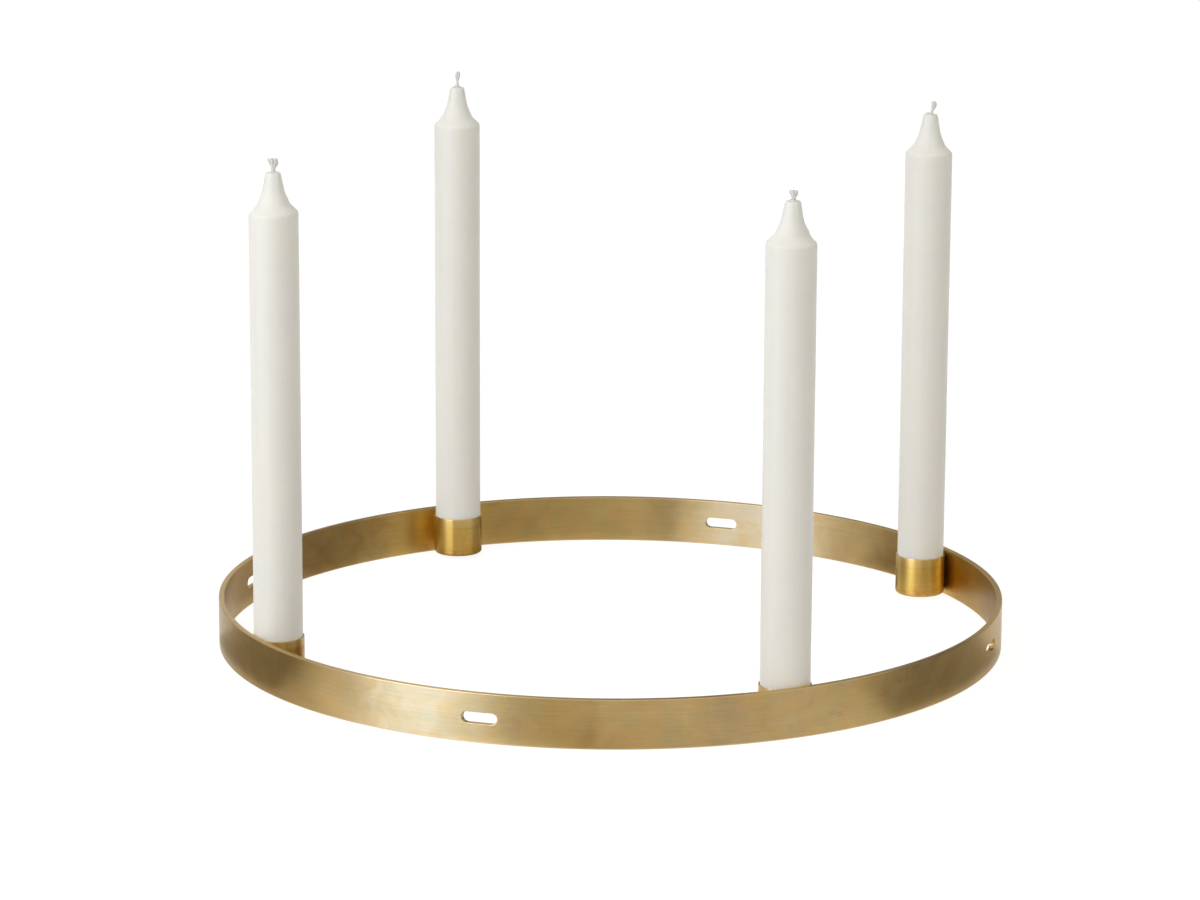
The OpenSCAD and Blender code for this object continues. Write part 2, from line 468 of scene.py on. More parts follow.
def readBand():
    # sizes of the ring, its seam and its slots, as packed
    points = [v.co for v in cadNodes["ring_band"].data.vertices]
    radii = [math.hypot(p.x, p.y) for p in points]
    low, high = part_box("ring_band")
    outer, inner = max(radii), min(radii)
    clear = band["slotClear"]
    slot = [p for p in points if p.x > 0 and abs(p.y) < band["slotReach"]
            and low.z + clear < p.z < high.z - clear]
    seamPoints = [v.co for v in cadNodes["ring_seam"].data.vertices]
    middle = sum(seamPoints, Vector()) / len(seamPoints)
    return {
        "outer": outer,
        "inner": inner,
        "thickness": outer - inner,
        "low": low.z,
        "height": high.z - low.z,
        "slotLength": 2 * max(abs(p.y) for p in slot),
        "slotHeight": max(p.z for p in slot) - min(p.z for p in slot),
        "seamHeading": math.atan2(middle.y, middle.x),
        "marks": band["marks"] + paintedCupReflections(),
    }


def paintedCupReflections():
    # painted warm reflection of each cup, on the inside of the band where it was brazed on
    middles = [sum(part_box(f"cup_{place}"), Vector()) / 2 for place in places]
    headings = [math.degrees(math.atan2(middle.y, middle.x)) for middle in middles]
    return [("paintedWarmReflection", 1, heading, band["cupReflectionSpread"], 1.0) for heading in headings]


def bandPoint(size, heading, height, depth):
    # a point on the bar: depth is measured in from its outer face
    out = polar(1.0, heading, 0.0)
    wander = noise.noise(out * size["outer"] * band["waveScale"]) - 1
    radius = size["outer"] - depth + band["wave"] * wander
    return polar(radius, heading, size["low"] + height)


def bandMarks(size, heading, depthShare):
    # how strong each kind of mark is at a place on the bar
    found = {"stainAndShade": 0.0, "paintedWarmReflection": 0.0, "paintedHighlight": 0.0}
    inside = smoothStep(*band["throughBar"], depthShare)
    for kind, face, middle, spread, strength in size["marks"]:
        off = (math.degrees(heading) - middle + 180) % 360 - 180
        here = strength * math.exp(-(off / spread) ** 2) * (inside if face == 1 else 1 - inside)
        found[kind] = max(found[kind], here)
    return tuple(found.values())


def bandSection(size):
    # one turn round the bar's cross-section: height, depth and how rubbed it is
    edge, tall, thick = band["edge"], size["height"], size["thickness"]
    span = tall - 2 * edge
    rows = [edge + share * span for share in band["rowShares"]]
    turns = [math.radians(turned) for turned in band["edgeTurns"]]
    loop = [(h, 0.0, 1.0 if h in (rows[0], rows[-1]) else 0.0) for h in rows]
    loop += [(tall - edge + edge * math.sin(a), edge - edge * math.cos(a), 1.0) for a in turns]
    rim = [edge + share * (thick - 2 * edge) for share in band["rimShares"]]
    loop += [(tall, d, band["rimWear"]) for d in rim]
    loop += [(tall - edge + edge * math.cos(a), thick - edge + edge * math.sin(a), 1.0) for a in turns]
    loop += [(h, thick, 1.0 if h in (rows[0], rows[-1]) else 0.0) for h in reversed(rows)]
    loop += [(edge - edge * math.sin(a), thick - edge + edge * math.cos(a), 1.0) for a in turns]
    loop += [(0.0, d, band["rimWear"]) for d in reversed(rim)]
    loop += [(edge - edge * math.cos(a), edge - edge * math.sin(a), 1.0) for a in turns]
    return loop


def nearestOnSlot(size, along, up, grow):
    # the point of the slot's outline nearest to a point outside it, measured from the slot's middle
    radius = size["slotHeight"] / 2
    half = size["slotLength"] / 2 - radius
    centre = min(half, max(-half, along))
    away = Vector((along - centre, up))
    away.normalize()
    return centre + away.x * (radius + grow), away.y * (radius + grow)


def joinRings(near, far, faces, flip):
    # a strip of faces between two closed rings of points
    for i in range(len(near)):
        j = (i + 1) % len(near)
        quad = [near[i], near[j], far[j], far[i]]
        faces.append(quad[::-1] if flip else quad)


def buildBand(size):
    loop = bandSection(size)
    around = len(loop)
    count = len(band["rowShares"])
    # where the inner wall starts in the loop
    innerFirst = count + 2 * len(band["edgeTurns"]) + len(band["rimShares"])
    columns = band["columns"]
    headings = [size["seamHeading"] + 2 * math.pi * c / columns for c in range(columns + 1)]
    halfSeam = math.atan2(seam["width"] / 2, size["outer"])
    headings[0] += halfSeam
    headings[-1] -= halfSeam
    middleRadius = (size["outer"] + size["inner"]) / 2
    middleHeight = size["height"] / 2
    lowRow, highRow = band["patchRows"]
    reach = band["patchColumns"]
    middles = [columns // 8 + columns // 4 * k for k in range(4)]
    points, grain, wear, marks, faces = [], [], [], [], []
    grid = {}

    def put(heading, height, depth, rub):
        spot = bandPoint(size, heading, height, depth)
        if rub > 0:
            rough = noise.noise(spot * band["fileScale"]) - 1
            spot.z += band["fileMarks"] * rough * (1 if height > middleHeight else -1)
        points.append(spot)
        grain.append(((heading - size["seamHeading"]) * size["outer"], 0.0, height + depth))
        wear.append(rub)
        marks.append(bandMarks(size, heading, depth / size["thickness"]))
        return len(points) - 1

    def wallRow(k, last):
        # the row that a loop point stands on, or -1 off the two walls; last is the highest one counted
        if k <= last:
            return k
        return last - (k - innerFirst) if innerFirst <= k <= innerFirst + last else -1

    for column, heading in enumerate(headings):
        nearSlot = any(abs(column - m) < reach for m in middles)
        for k, (height, depth, rub) in enumerate(loop):
            if not (nearSlot and lowRow < wallRow(k, count - 1) < highRow):
                grid[column, k] = put(heading, height, depth, rub)
    for column in range(columns):
        nearSlot = any(m - reach <= column < m + reach for m in middles)
        for k in range(around):
            if nearSlot and lowRow <= wallRow(k, count - 2) < highRow:
                continue
            after = (k + 1) % around
            corners = [(column, k), (column + 1, k), (column + 1, after), (column, after)]
            faces.append([grid[c] for c in corners])
    faces.append([grid[0, k] for k in reversed(range(around))])
    faces.append([grid[columns, k] for k in range(around)])

    # each slot: rings of points that close in on its outline, round its edge, then through the bar
    edge = band["slotEdge"]
    for m in middles:
        border = [(m - reach + c, lowRow) for c in range(2 * reach)]
        border += [(m + reach, lowRow + r) for r in range(highRow - lowRow)]
        border += [(m + reach - c, highRow) for c in range(2 * reach)]
        border += [(m - reach, highRow - r) for r in range(highRow - lowRow)]
        mouths = []
        for face, inward in ((0.0, 1), (size["thickness"], -1)):
            outside = inward == 1
            ring = [grid[column, row if outside else innerFirst + count - 1 - row] for column, row in border]
            for share, grow, sink, rub in band["slotRings"]:
                closer = []
                for column, row in border:
                    along = (headings[column] - headings[m]) * middleRadius
                    up = loop[row][0] - middleHeight
                    slotAlong, slotUp = nearestOnSlot(size, along, up, grow * edge)
                    heading = headings[m] + (along + (slotAlong - along) * share) / middleRadius
                    height = up + (slotUp - up) * share + middleHeight
                    closer.append(put(heading, height, face + inward * sink * edge, rub))
                joinRings(ring, closer, faces, not outside)
                ring = closer
            mouths.append(ring)
        joinRings(mouths[0], mouths[1], faces, False)
    return makePiece("brassBand", points, faces, grain, wear, marks)


def buildSeam(size):
    # the brazed joint, filed almost flush, fills the gap between the bar's two ends
    loop = bandSection(size)
    around = len(loop)
    half = math.atan2(seam["width"] / 2, size["outer"])
    points, grain, wear, faces = [], [], [], []
    for share in seam["shares"]:
        heading = size["seamHeading"] + share * half
        proud = seam["proud"] * (1 - share * share)
        for height, depth, rub in loop:
            spot = bandPoint(size, heading, height, depth)
            side = Vector((spot.x, spot.y, 0)).normalized()
            push = (0.5 - depth / size["thickness"]) * 2
            lift = (height / size["height"] - 0.5) * 2
            spot += side * proud * push * (0.6 + 0.4 * noise.noise(spot * seam["roughScale"]))
            spot.z += max(0.0, proud * lift)
            points.append(spot)
            grain.append((share * half * size["outer"], 0.0, height + depth))
            wear.append(seam["wear"])
    rings = [list(range(s * around, (s + 1) * around)) for s in range(len(seam["shares"]))]
    for near, far in zip(rings, rings[1:]):
        joinRings(near, far, faces, True)
    faces.append(rings[0][::-1])
    faces.append(rings[-1])
    return makePiece("bandSeam", points, faces, grain, wear)


def readRound(node):
    # where the foot of a round piece stands, its radius and its height, as packed
    low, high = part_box(node)
    centre = Vector(((low.x + high.x) / 2, (low.y + high.y) / 2, low.z))
    return {"centre": centre, "radius": (high.x - low.x) / 2, "height": high.z - low.z}


# Anything turned: a closed outline swept round its own axis
def turn(name, outline, steps, centre, bend=None, wearAt=None, markAt=None):
    points, grain, wear, marks, faces = [], [], [], [], []
    along = 0.0
    before = outline[0]
    for k, (radius, height) in enumerate(outline):
        along += math.hypot(radius - before[0], height - before[1])
        before = (radius, height)
        for s in range(steps):
            heading = 2 * math.pi * s / steps
            spot = polar(radius, heading, height)
            if bend:
                spot = bend(spot, k)
            points.append(spot + centre)
            grain.append((spot.x, spot.y, along))
            wear.append(wearAt(k) if wearAt else 0.0)
            marks.append(markAt(k, heading) if markAt else (0.0, 0.0, 0.0))
    rings = [list(range(k * steps, (k + 1) * steps)) for k in range(len(outline))]
    for near, far in zip(rings, rings[1:] + rings[:1]):
        joinRings(near, far, faces, False)
    return makePiece(name, points, faces, grain, wear, marks, centre)


def arc(centre, radius, start, end, steps):
    # points on an arc, in degrees, from its start to its end
    spots = []
    for k in range(steps + 1):
        turned = math.radians(start + (end - start) * k / steps)
        spots.append((centre[0] + radius * math.cos(turned), centre[1] + radius * math.sin(turned)))
    return spots


# Cups: turned brass, each brazed to the band
cup = {
    "steps": 128,
    "wall": 0.5 * mm,
    "floor": 1.0 * mm,
    "bottomRound": 1.2 * mm,
    "rimRound": 0.1 * mm,
    "leadIn": 0.2 * mm,
    "fillet": 0.3 * mm,  # where the bore meets the floor
    "centreMark": 0.5 * mm,  # small drill point under the floor
    "markDepth": 0.25 * mm,
    "pinhole": 0.02 * mm,  # radius that closes the middle of the floor
    "crisp": 40,  # degrees
    "paintedEdgeShade": 0.45,  # painted shade on the rounded bottom edge, which mirrors the shadow under the cup
    "paintedCupShade": {"front_left": 0.85},  # painted shade over a whole cup, for the shaded band and floor that it mirrors
    "bandReflectionSide": (0.3, 0.9),  # painted warm reflection of the band: how squarely a side faces it, where the tint starts and is full
}


def buildCup(place):
    size = readRound(f"cup_{place}")
    centre, radius, tall = size["centre"], size["radius"], size["height"]
    bore = radius - cup["wall"]
    r, rim, lead, mark = cup["bottomRound"], cup["rimRound"], cup["leadIn"], cup["centreMark"]
    floor, fillet, pinhole = cup["floor"], cup["fillet"], cup["pinhole"]
    outline = [(pinhole, cup["markDepth"]), (mark, 0.0)]
    outline += [(mark + (radius - r - mark) * share, 0.0) for share in (0.25, 0.5, 0.75, 0.95)]
    cornerRow = len(outline)
    outline += arc((radius - r, r), r, -90, 0, 8)
    sideRow = len(outline)
    outline += [(radius, r + (tall - rim - r) * share) for share in (0.03, 0.25, 0.5, 0.75, 0.97)]
    rimRow = len(outline)
    outline += arc((radius - rim, tall - rim), rim, 0, 90, 4)
    outline += [(bore + lead, tall), (bore + lead * 0.4, tall - lead * 0.45), (bore, tall - lead * 1.3)]
    boreRow = len(outline)
    outline += [(bore, floor + (tall - floor) * share) for share in (0.7, 0.4, 0.1)]
    outline += [(bore, floor + fillet), (bore - fillet * 0.3, floor + fillet * 0.3)]
    outline += [(bore - fillet, floor), (bore * 0.5, floor), (pinhole, floor)]

    def wearAt(k):
        return 1.0 if rimRow - 1 <= k < boreRow else 0.0

    def markAt(k, heading):
        underEdge = cornerRow + 2 <= k <= sideRow
        # painted shade: on every cup's rounded bottom edge, and over the whole front left cup
        paintedShade = cup["paintedEdgeShade"] if underEdge else cup["paintedCupShade"].get(place, 0.0)
        facing = math.cos(heading - math.atan2(centre.y, centre.x))
        # second mark: painted warm reflection on the side that faces the band
        return paintedShade, smoothStep(*cup["bandReflectionSide"], facing), 0.0

    piece = turn(f"turnedCup_{place}", outline, cup["steps"], centre, wearAt=wearAt, markAt=markAt)
    sharpen(piece, cup["crisp"])
    return piece


# Candles: drawn wax with a dipped, cut tip; each tip is a little different
candle = {
    "steps": 96,
    "channel": 1.15 * mm,
    "footRound": 0.8 * mm,
    "shoulderRound": 1.3 * mm,
    "bevelTop": (7.3 * mm, 3.1 * mm),  # radius and height above the shoulder
    "tipHeight": 17.4 * mm,
    "tip": [(6.25, 5.5), (5.0, 8.8), (4.25, 12.2), (3.68, 15.3), (3.45, 16.4)],  # mm
    "topRound": 0.85 * mm,
    "topInset": 0.1 * mm,
    # wax that climbs the wick: radius and height above the tip, in mm
    "climb": [(2.1, -0.03), (1.7, 0.0825), (1.4, 0.275), (1.22, 0.55), (1.15, 0.495)],
    "undulation": 0.06 * mm,
    "undulationGrain": (1.3, 22, 40),  # how fast it changes round, along, and from candle to candle
    "flutes": 0.16 * mm,  # faint runs down the tip
    "fluteGrain": (3.6, 70, 90),
    "lumpRise": 0.8,  # lumps push out and this much up
    "shiftPower": 1.3,  # how the tip's sideways shift gathers towards its top
    "tiltBelow": 14 * mm,  # the tilted shoulder fades out this far down
    "tiltAbove": (3 * mm, 9 * mm),  # and between these heights above
    "shaftStep": 9 * mm,
    "shaftGap": 0.4 * mm,  # from the last row of the shaft to the rounded shoulder
}
# tilt: how much higher the shoulder is on the right; shift: the tip's place to the right; lumps: heading
# in the photo (0 right, 90 away), distance out, height above the shoulder, spread and push; all in mm
candleShapes = {
    "front_left": {
        "tilt": 1.1,
        "shift": 0.05,
        "lumps": [(180, 7.6, 2.2, 0.7, -0.35), (200, 8.4, 1.9, 0.9, 0.15), (300, 2.6, 16.6, 1.2, -0.25),
                  (330, 3.6, 14.6, 0.8, -0.15), (20, 6.2, 6.0, 1.2, 0.2)],
    },
    "back_left": {
        "tilt": 0.2,
        "shift": 0.12,
        "lumps": [(185, 1.7, 17.5, 0.55, 0.55), (350, 2.9, 17.2, 0.8, 0.25), (180, 8.2, 3.2, 1.0, 0.3),
                  (340, 6.8, 4.6, 1.0, -0.2)],
    },
    "back_right": {
        "tilt": -0.2,
        "shift": 0.42,
        "lumps": [(175, 1.6, 17.6, 1.3, 0.75), (345, 2.5, 17.0, 0.7, -0.5), (285, 2.6, 17.0, 0.5, -0.3),
                  (180, 9.6, 1.2, 0.7, -0.35), (180, 8.6, 2.6, 0.6, 0.3), (5, 7.6, 3.9, 0.9, 0.25)],
    },
    "front_right": {
        "tilt": -0.5,
        "shift": 0.5,
        "lumps": [(0, 7.2, 4.2, 2.8, 0.55), (0, 10.6, 0.4, 0.6, 0.3), (180, 8.4, 3.0, 0.9, 0.2),
                  (330, 2.6, 17.2, 0.9, -0.35), (300, 6.6, 5.5, 1.0, -0.15)],
    },
}


def tipCurve(points, steps):
    # smooth curve through the tip's listed points
    spots = []
    for k in range(len(points) - 1):
        a = points[max(0, k - 1)]
        b, c = points[k], points[k + 1]
        d = points[min(len(points) - 1, k + 2)]
        for s in range(steps):
            t = s / steps
            weights = (-t + 2 * t**2 - t**3, 2 - 5 * t**2 + 3 * t**3,
                       t + 4 * t**2 - 3 * t**3, -t**2 + t**3)
            spots.append(tuple(sum(w * p[i] for w, p in zip(weights, (a, b, c, d))) / 2 for i in (0, 1)))
    return spots + [points[-1]]


def buildCandle(place):
    size = readRound(f"candle_{place}")
    centre, top = size["centre"], size["height"]
    shoulder = top - candle["tipHeight"]
    radius = size["radius"] - candle["undulation"] / 2
    shape = candleShapes[place]
    channel, foot, soft = candle["channel"], candle["footRound"], candle["shoulderRound"]
    outline = [(channel, 0.0), (radius * 0.5, 0.0)]
    outline += arc((radius - foot, foot), foot, -90, 0, 5)
    shaftTop = shoulder - soft - candle["shaftGap"]
    rises = int((shaftTop - foot) / candle["shaftStep"])
    outline += [(radius, foot + (shaftTop - foot) * k / rises) for k in range(1, rises + 1)]
    outline += [(radius, shoulder - soft), (radius - soft * 0.14, shoulder - soft * 0.35),
                (radius - soft * 0.5, shoulder + soft * 0.1)]
    bevelRadius, bevelHeight = candle["bevelTop"][0], shoulder + candle["bevelTop"][1]
    startRadius, startHeight = radius - soft, shoulder + soft * 0.5
    outline += [(startRadius + (bevelRadius - startRadius) * s, startHeight + (bevelHeight - startHeight) * s)
                for s in (0.0, 0.25, 0.5, 0.75)]
    tip = [(bevelRadius, bevelHeight)] + [(r * mm, shoulder + h * mm) for r, h in candle["tip"]]
    outline += tipCurve(tip, 4)
    r = candle["topRound"]
    outline += arc((tip[-1][0] - r - candle["topInset"], top - r), r, 20, 90, 5)
    outline += [(r * mm, top + h * mm) for r, h in candle["climb"]]
    channelRow = len(outline) - 1
    outline += [(channel, top * share) for share in (0.97, 0.75, 0.5, 0.25)]

    lumps = []
    for heading, out, up, spread, push in shape["lumps"]:
        spot = polar(out * mm, photoTurn + math.radians(heading), shoulder + up * mm)
        lumps.append((spot, spread * mm, push * mm))

    def tipShift(above):
        return photoRight * shape["shift"] * mm * (above / (top - shoulder)) ** candle["shiftPower"]

    def unevenness(out, height, grain):
        across, along, apart = grain
        return noise.noise(Vector((out.x * across, out.y * across, height * along)) + centre * apart)

    def bend(spot, k):
        if k == 0 or k >= channelRow:
            return spot + tipShift(spot.z - shoulder) if spot.z > shoulder else spot
        out = Vector((spot.x, spot.y, 0)).normalized()
        wander = unevenness(out, spot.z, candle["undulationGrain"])
        spot += out * candle["undulation"] * (wander - 0.5) * 0.9
        for middle, spread, push in lumps:
            fall = math.exp(-((spot - middle).length / spread) ** 2)
            spot += (out + Vector((0, 0, candle["lumpRise"]))).normalized() * push * fall
        above = spot.z - shoulder
        near = smoothStep(-candle["tiltBelow"], 0, above) * (1 - smoothStep(*candle["tiltAbove"], above))
        spot.z += shape["tilt"] * 0.5 * mm * spot.dot(photoRight) / radius * near
        if above > 0:
            spot += tipShift(above)
            ripple = unevenness(out, spot.z, candle["fluteGrain"])
            spot += out * ripple * candle["flutes"] * smoothStep(0, candle["tiltAbove"][0], above)
        return spot

    return turn(f"waxCandle_{place}", outline, candle["steps"], centre, bend=bend)


# Wicks: seven cotton yarns twisted together, splayed where each one was cut
wick = {
    "outerYarns": 6,  # round one in the middle
    "yarnRadius": 0.44 * mm,
    "yarnTwist": 2.2 * mm,  # length for one radian of twist
    "bundle": 0.66 * mm,  # from the wick's middle to the middle of an outer yarn
    "pitch": 9 * mm,
    "sides": 8,
    "innerSteps": 60,
    "stubSteps": 16,
    "inset": 1.0 * mm,
    "pull": 0.45,  # how far a loose end carries straight on
    "fuzz": 0.06 * mm,
    "fuzzScale": 1300,
    "swellFrom": (0.1, 0.8),  # share of a loose end over which it swells
    "closeFrom": 0.86,  # share where its end starts to close
    "closed": 0.97,
}
# tips: where each yarn ends, in mm: to the right in the photo, away from the camera, and above the wax
wickShapes = {
    "front_left": {
        "split": 1.5,
        "way": [(0, 0), (-0.15, 0.3), (0.0, 0.5)],
        "swell": 1.7,
        "tips": [(-2.15, 0.1, 6.0), (-0.85, -0.5, 6.4), (0.3, 0.4, 6.0), (1.0, -0.4, 6.35),
                 (1.75, 0.2, 5.9), (1.95, -0.2, 4.7), (-0.3, 0.9, 5.4)],
    },
    "back_left": {
        "split": 4.6,
        "way": [(0, 0), (-0.1, 0.0), (0.1, 0.0)],
        "swell": 1.0,
        "tips": [(-0.1, 0.1, 7.6), (0.3, -0.5, 7.75), (1.05, 0.2, 7.5), (1.1, -0.5, 7.3),
                 (0.5, 0.7, 7.6), (-0.2, -0.5, 7.4), (0.5, 0.0, 7.8)],
    },
    "back_right": {
        "split": 3.4,
        "way": [(0, 0), (0.7, 0.0), (1.3, 0.0)],
        "swell": 1.25,
        "tips": [(0.75, 0.1, 6.2), (1.5, -0.5, 6.4), (2.0, 0.2, 6.1), (2.15, -0.3, 5.5),
                 (1.2, 0.7, 6.1), (0.95, -0.6, 5.6), (1.7, 0.3, 6.3)],
    },
    "front_right": {
        "split": 1.5,
        "way": [(0, 0), (0.1, 0.0), (0.15, 0.0)],
        "swell": 1.5,
        "tips": [(-1.55, 0.0, 4.55), (-0.6, -0.5, 4.7), (0.4, 0.5, 4.6), (1.1, -0.5, 4.65),
                 (1.85, 0.1, 4.2), (1.5, -0.3, 3.3), (-0.5, 0.9, 4.3)],
    },
}


def addTube(points, grain, faces, path, radii, sides):
    # a closed round yarn along a path
    rings = []
    side = None
    along = 0.0
    for k, spot in enumerate(path):
        ahead = (path[min(k + 1, len(path) - 1)] - path[max(k - 1, 0)]).normalized()
        if side is None:
            side = ahead.orthogonal().normalized()
        side = (side - ahead * side.dot(ahead)).normalized()
        other = ahead.cross(side)
        if k:
            along += (spot - path[k - 1]).length
        rings.append(list(range(len(points), len(points) + sides)))
        for s in range(sides):
            turned = 2 * math.pi * s / sides
            out = side * math.cos(turned) + other * math.sin(turned)
            points.append(spot + out * radii[k])
            spin = turned + along / wick["yarnTwist"]
            grain.append((math.cos(spin) * radii[k], math.sin(spin) * radii[k], along))
    for near, far in zip(rings, rings[1:]):
        joinRings(near, far, faces, False)
    faces.append(rings[0][::-1])
    faces.append(rings[-1])


def matchEnds(lowers, ends):
    # each yarn takes the end on its own side, so that none cross; the last yarn is the one in the middle
    count = wick["outerYarns"]
    middle = sum(ends, Vector()) / len(ends)
    inner = min(ends, key=lambda end: (end - middle).length)
    rest = [end for end in ends if end is not inner]
    rest.sort(key=lambda end: math.atan2(end.y - middle.y, end.x - middle.x))
    core = lowers[-1]
    order = sorted(range(count), key=lambda k: math.atan2(lowers[k].y - core.y, lowers[k].x - core.x))

    def stretched(turned):
        return sum((lowers[order[k]] - rest[(k + turned) % count]).length for k in range(count))

    best = min(range(count), key=stretched)
    matched = {order[k]: rest[(k + best) % count] for k in range(count)}
    return [matched[k] for k in range(count)] + [inner]


def quadratic(first, second, third, t):
    # the curve that leaves the first point towards the second and ends at the third
    return first * (1 - t) ** 2 + second * 2 * t * (1 - t) + third * t * t


def buildWick(place):
    size = readRound(f"candle_{place}")
    centre, top = size["centre"], size["height"]
    shoulder = top - candle["tipHeight"]
    shape = wickShapes[place]
    split = shape["split"] * mm
    shift = candleShapes[place]["shift"] * mm
    way = [(photoRight * x + photoAway * y) * mm for x, y in shape["way"]]
    points, grain, faces = [], [], []

    def middle(height):
        spot = Vector((0, 0, height))
        if height > shoulder:
            spot += photoRight * shift * (min(height, top) - shoulder) / (top - shoulder)
        above = (height - top) / split
        if above > 0:
            spot += quadratic(*way, min(1.0, above))
        return spot

    def onBundle(number, height):
        if number == wick["outerYarns"]:
            return middle(height)
        turned = 2 * math.pi * (number / wick["outerYarns"] + height / wick["pitch"])
        return middle(height) + polar(wick["bundle"], turned, 0)

    lowers = [onBundle(number, top + split) for number in range(wick["outerYarns"] + 1)]
    ends = []
    for right, away, up in shape["tips"]:
        ends.append(Vector((0, 0, top + up * mm)) + photoRight * (right * mm + shift) + photoAway * away * mm)
    for number, tip in enumerate(matchEnds(lowers, ends)):
        path, radii = [], []
        for k in range(wick["innerSteps"]):
            height = wick["inset"] + (top + split - wick["inset"]) * k / wick["innerSteps"]
            path.append(onBundle(number, height))
            radii.append(wick["yarnRadius"])
        lower = lowers[number]
        rise = (lower - onBundle(number, top + split - 0.5 * mm)).normalized()
        handle = lower + rise * (tip - lower).length * wick["pull"]
        for k in range(wick["stubSteps"] + 1):
            t = k / wick["stubSteps"]
            spot = quadratic(lower, handle, tip, t)
            fuzz = noise.noise_vector((spot + centre) * wick["fuzzScale"]) * wick["fuzz"] * t
            path.append(spot + fuzz)
            grow = 1 + (shape["swell"] - 1) * smoothStep(*wick["swellFrom"], t)
            close = math.sqrt(1 - smoothStep(wick["closeFrom"], 1.0, t) ** 2 * wick["closed"])
            radii.append(wick["yarnRadius"] * grow * close)
        addTube(points, grain, faces, [p + centre for p in path], radii, wick["sides"])
    return makePiece(f"cottonWick_{place}", points, faces, grain, origin=centre)


# Studio: bright floor, white surroundings, two softboxes, and cards and sheets of painted floor shade that
# only the brass mirrors
studio = {
    "floorRadius": 4.0,
    "floorSteps": 96,
    "floorBelow": 0.0002,
    "floorTone": (0.62, 0.62, 0.62),  # what the floor gives back to the candles
    "floorLit": (0.22, 0.22, 0.22),  # share of the seen floor that takes light and shadow
    "floorGlow": 0.90,
    "ambient": (0.60, 0.582, 0.540),
    "aimHeight": 0.1,  # what the lamps point at
    "lamps": [
        {"name": "keySoftbox", "heading": 237, "away": 2.0, "height": 1.04, "width": 1.78, "tall": 1.0,
         "power": 20.4},
        {"name": "mirrorStrip", "heading": 237, "away": 1.1, "height": 0.18, "width": 0.70, "tall": 0.36,
         "power": 3.2, "lights": False, "tint": (0.50, 0.74, 1.0)},
        {"name": "fillSoftbox", "heading": 350, "away": 2.0, "height": 0.55, "width": 0.7, "tall": 1.0,
         "power": 3.0, "mirrored": False, "tint": (1.0, 0.91, 0.74)},
    ],
    # cards: headings of the two ends, distance and height of the two edges, tone
    "cards": {
        "leftCard": ((140, 200), (1.6, 0.0), (1.6, 0.5), (0.02, 0.02, 0.02)),
        "rightCard": ((11, 70), (1.6, 0.0), (1.6, 1.2), (0.02, 0.02, 0.02)),
        "backCard": ((86, 113), (1.6, 0.12), (1.6, 0.8), (0.84, 0.82, 0.78)),
        "topCard": ((58, 124), (1.6, 0.8), (0.1, 2.2), (0.02, 0.02, 0.02)),
    },
    # painted shade on the floor, as sheets that only the brass mirrors: headings of the two ends, distance of
    # the two edges, tone
    "paintedFloorShade": {
        "leftFloorShade": ((199, 230), 0.184, 0.9, (0.36, 0.34, 0.30)),
        "rightFloorShade": ((-28, 12), 0.184, 0.9, (0.62, 0.60, 0.57)),
        "frontFloorShade": ((262, 275), 0.184, 0.5, (0.48, 0.46, 0.42)),
        "frontFloorShadeEnd": ((275, 280), 0.184, 0.5, (0.66, 0.64, 0.60)),
        "frontFloorShadeTail": ((280, 286), 0.184, 0.5, (0.82, 0.80, 0.77)),
        "besideFloorShade": ((14, 36), 0.172, 0.146, (0.36, 0.33, 0.28)),
        "innerFloorShade": ((98, 180), 0.172, 0.04, (0.80, 0.78, 0.74)),
        "shadeMat": ((225, 268), 0.172, 0.09, (0.20, 0.18, 0.15)),
        "cornerFloorShade": ((43, 66), 0.135, 0.085, (0.20, 0.18, 0.15)),
        "wallFloorShade": ((52, 67), 0.172, 0.148, (0.25, 0.23, 0.20)),
    },
    "cardSteps": 16,
    "cardRoughness": 0.9,
}


def seenFactor(tree):
    # 1 for rays that see the surroundings: straight on, in a mirror, or through glass
    rays = addNode(tree, "ShaderNodeLightPath")
    seen = calculate(tree, "MAXIMUM", rays.outputs["Is Camera Ray"], rays.outputs["Is Glossy Ray"])
    return calculate(tree, "MAXIMUM", seen, rays.outputs["Is Transmission Ray"])


def addFloor():
    steps = studio["floorSteps"]
    headings = [2 * math.pi * s / steps for s in range(steps)]
    edge = [polar(studio["floorRadius"], heading, -studio["floorBelow"]) for heading in headings]
    floor = makePiece("floor", edge, [list(range(steps))])
    material, tree, shader = newMaterial("paleFloor")
    tree.nodes.remove(shader)
    lit = addNode(tree, "ShaderNodeBsdfDiffuse", None, Color=(*studio["floorLit"], 1))
    glow = addNode(tree, "ShaderNodeEmission", None, Color=(1, 1, 1, 1), Strength=studio["floorGlow"])
    shown = addNode(tree, "ShaderNodeAddShader")
    bounce = addNode(tree, "ShaderNodeBsdfDiffuse", None, Color=(*studio["floorTone"], 1))
    choose = addNode(tree, "ShaderNodeMixShader")
    link = tree.links.new
    link(lit.outputs[0], shown.inputs[0])
    link(glow.outputs[0], shown.inputs[1])
    link(seenFactor(tree), choose.inputs["Fac"])
    link(bounce.outputs[0], choose.inputs[1])
    link(shown.outputs[0], choose.inputs[2])
    link(choose.outputs[0], tree.nodes["Material Output"].inputs["Surface"])
    floor.data.materials.append(material)


